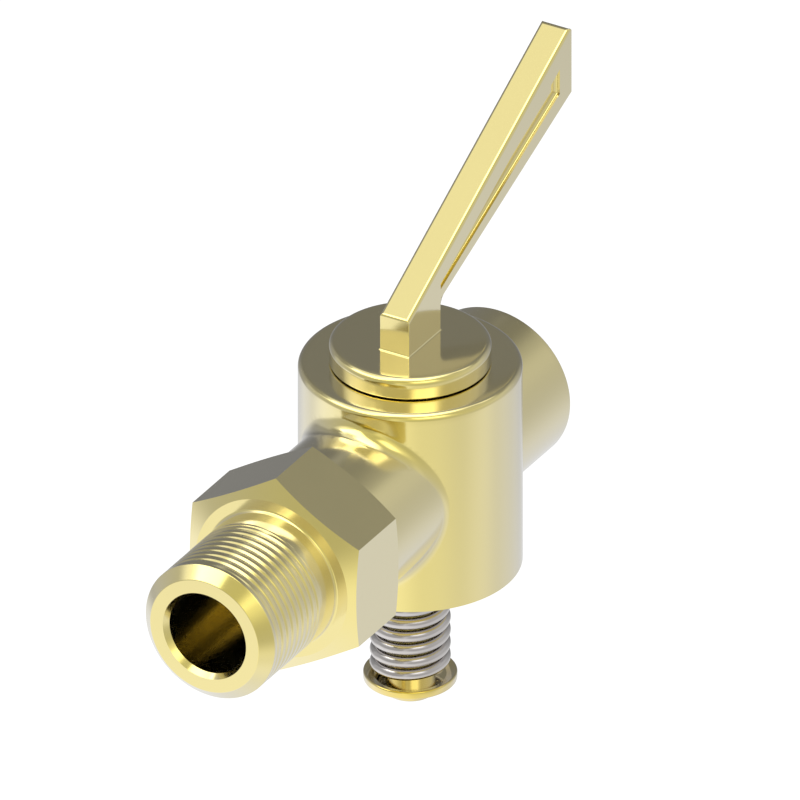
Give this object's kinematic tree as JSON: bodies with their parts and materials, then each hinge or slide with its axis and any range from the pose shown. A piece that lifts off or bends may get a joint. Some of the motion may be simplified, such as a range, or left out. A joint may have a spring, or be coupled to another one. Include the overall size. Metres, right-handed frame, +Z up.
{
  "type": "lever drain valve",
  "caption": "Ground-key drain valve: tapered key with a slanting lever, outer pipe thread behind a wrench hexagon, threaded socket outlet, and a spring that holds the key in its seat.",
  "frame": {"origin": "where the axis of the waterway crosses the axis of the key", "axes": "+X along the waterway towards the socket end, +Z up the key towards the lever, +Y to the left of the flow"},
  "size_m": [0.1263, 0.0404, 0.1113],
  "materials": {
    "cast_brass": "fine satin, machined and tumbled",
    "key_brass": "polished",
    "lever_brass": "polished",
    "washer_brass": "satin",
    "spring_steel": "drawn wire",
    "retainer_brass": "polished",
    "screw_brass": "satin"
  },
  "bodies": {
    "valve_body": {"body": "cast_brass", "thrust_washer": "washer_brass"},
    "spring_carrier": {"spring": "spring_steel"},
    "key_set": {"key": "key_brass", "lever": "lever_brass", "spring_retainer": "retainer_brass", "retaining_screw": "screw_brass"}
  },
  "joints": [
    {"name": "key_lift", "type": "slide", "parent": "valve_body", "child": "spring_carrier", "axis": [0, 0, 1], "range_m": [0, 0.0015], "stiffness_N_per_m": 16000, "springref_m": -0.003, "deforming": ["spring"]},
    {"name": "lever_turn", "type": "hinge", "parent": "spring_carrier", "child": "key_set", "pos_m": [0, 0, 0], "axis": [0, 0, 1], "continuous": true}
  ]
}
